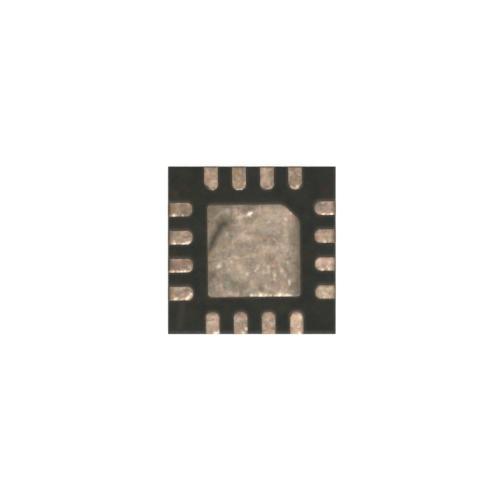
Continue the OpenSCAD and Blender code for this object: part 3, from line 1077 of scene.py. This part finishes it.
def gold_material():
    """Drawn gold wire, with fine drawing lines and slightly redder hollows."""
    s = Shader(bpy.data.materials.new("bond_wire_gold"))
    lines = s.noise(70, 3, place=s.scaled(s.place, (1, 1, 0.3)))
    colour = s.mix(s.swing(lines), tone(222, 164, 78), tone(250, 208, 124))
    roughness = s.swing(lines, 0.30, 0.18)
    return s.finish(colour, roughness, s.bump(lines, 0.0008), 1.0)


def give_material(nodes, material):
    for node in nodes:
        for slot in frame["nodes"][node].material_slots:
            slot.material = material


# Studio

HORIZON_LIGHT = 1.0
ZENITH_LIGHT = 0.55
HORIZON_TOP = 0.35
ZENITH_FOOT = 0.90
FLOOR_SIZE = 300
FLOOR_GLOW = 0.80
FLOOR_TONE = 0.36


def light_world():
    """A white horizon under a softer ceiling."""
    world = bpy.data.worlds.new("world")
    bpy.context.scene.world = world
    s = Shader(world)
    height = s.axis(s.node("TexCoord", "Generated", {}), "Z")
    strength = s.ramp(height, HORIZON_TOP, ZENITH_FOOT, HORIZON_LIGHT, ZENITH_LIGHT)
    s.put(s.nodes["Background"].inputs["Color"], (1, 1, 1, 1))
    s.put(s.nodes["Background"].inputs["Strength"], strength)


def floor_material():
    """Pale floor that looks white where it lies open and keeps a soft shadow."""
    s = Shader(bpy.data.materials.new("floor"))
    path = s.nodes.new("ShaderNodeLightPath").outputs
    seen = path["Is Camera Ray"]
    for ray in ("Is Glossy Ray", "Is Transmission Ray"):
        seen = s.math("MAXIMUM", seen, path[ray])
    glow = s.node("Emission", 0, {"Strength": s.math("MULTIPLY", seen, FLOOR_GLOW)})
    diffuse = s.node("BsdfDiffuse", 0, {"Color": (FLOOR_TONE, FLOOR_TONE, FLOOR_TONE, 1)})
    surface = s.node("AddShader", 0, {0: diffuse, 1: glow})
    s.put(s.nodes["Material Output"].inputs["Surface"], surface)
    s.nodes.remove(s.nodes["Principled BSDF"])
    return s.owner


def make_floor():
    half = FLOOR_SIZE * MM / 2
    mesh = bpy.data.meshes.new("floor")
    corners = [(-half, -half, 0), (half, -half, 0), (half, half, 0), (-half, half, 0)]
    mesh.from_pydata(corners, [], [(0, 1, 2, 3)])
    mesh.materials.append(floor_material())
    floor = bpy.data.objects.new("floor", mesh)
    bpy.context.scene.collection.objects.link(floor)


def add_lamp(name, place_mm, size_mm, brightness):
    """A soft box aimed at the package. A brightness of 1 looks white."""
    light = bpy.data.lights.new(name, "AREA")
    light.shape = "RECTANGLE"
    light.size, light.size_y = (side * MM for side in size_mm)
    light.energy = brightness * math.pi * light.size * light.size_y
    lamp = bpy.data.objects.new(name, light)
    lamp.location = Vector(place_mm) * MM
    lamp.rotation_euler = (-Vector(place_mm)).to_track_quat("-Z", "Y").to_euler()
    bpy.context.scene.collection.objects.link(lamp)


CAMERA_LENS = 200
CAMERA_SENSOR = 36
CLIP_START = 0.1
CLIP_END = 10

# Soft boxes: place and size in millimetres, brightness
LAMPS = {
    "front_box": ((*(TO_LAMP * 31), 37), (30, 14), 5.0),
    "top_box": ((0, 0, 75), (50, 50), 0.9)}


def add_camera():
    """A long lens straight above, with the package where the photograph has it."""
    data = bpy.data.cameras.new("camera")
    data.lens, data.sensor_width = CAMERA_LENS, CAMERA_SENSOR
    distance = PHOTO_SIZE / PIXELS_PER_MM * CAMERA_LENS / CAMERA_SENSOR
    data.clip_start = distance * CLIP_START * MM
    data.clip_end = distance * CLIP_END * MM
    camera = bpy.data.objects.new("camera", data)
    aim = from_photo(PHOTO_MIDDLE, PHOTO_MIDDLE)
    camera.location = Vector((*aim, MOULD_Z + distance)) * MM
    bpy.context.scene.collection.objects.link(camera)
    bpy.context.scene.camera = camera


mould, tin = mould_material(), tin_material()
make_moulding(mould)
make_pad(tin)
for node, seed in zip(TERMINALS, TERMINAL_SEEDS):
    make_terminal(node, seed, tin)
give_material(["silicon_die"], silicon_material())
give_material(["die_attach"], adhesive_material())
give_material(WIRES, gold_material())

light_world()
make_floor()
for name, looks in LAMPS.items():
    add_lamp(name, *looks)
add_camera()
bpy.context.scene.view_settings.view_transform = "Standard"
